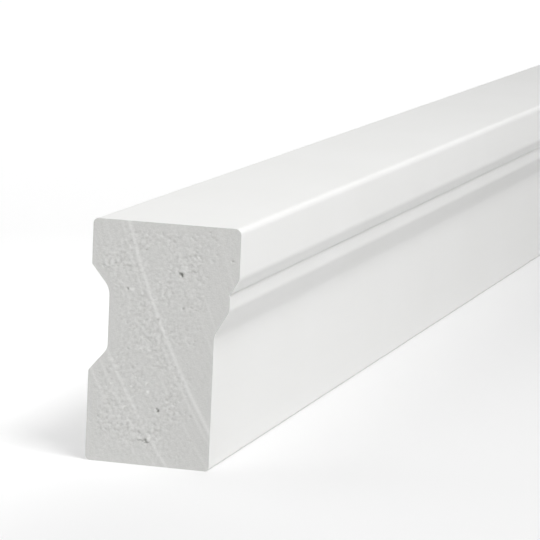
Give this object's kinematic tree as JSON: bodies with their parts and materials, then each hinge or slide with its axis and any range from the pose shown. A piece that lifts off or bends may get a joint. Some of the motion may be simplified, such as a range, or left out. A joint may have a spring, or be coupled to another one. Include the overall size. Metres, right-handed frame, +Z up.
{
  "type": "brick moulding",
  "caption": "Straight stick of white cellular PVC brick moulding with a bevelled, stepped face, a relieved back and square-cut ends.",
  "frame": {"origin": "bottom centre of the stick as it stands on its inner edge: middle of its length, middle of its thickness, on the floor", "axes": "+Y along the stick, +X across the thickness towards the moulded face, +Z up from the inner edge to the outer edge"},
  "size_m": [0.0318, 2.4384, 0.0508],
  "materials": {
    "cellular_pvc": "smooth satin white skin from the extrusion; saw-cut ends are grey-white, with fine closed foam cells"
  },
  "bodies": {
    "root": {"brick_moulding": "cellular_pvc"}
  },
  "joints": []
}
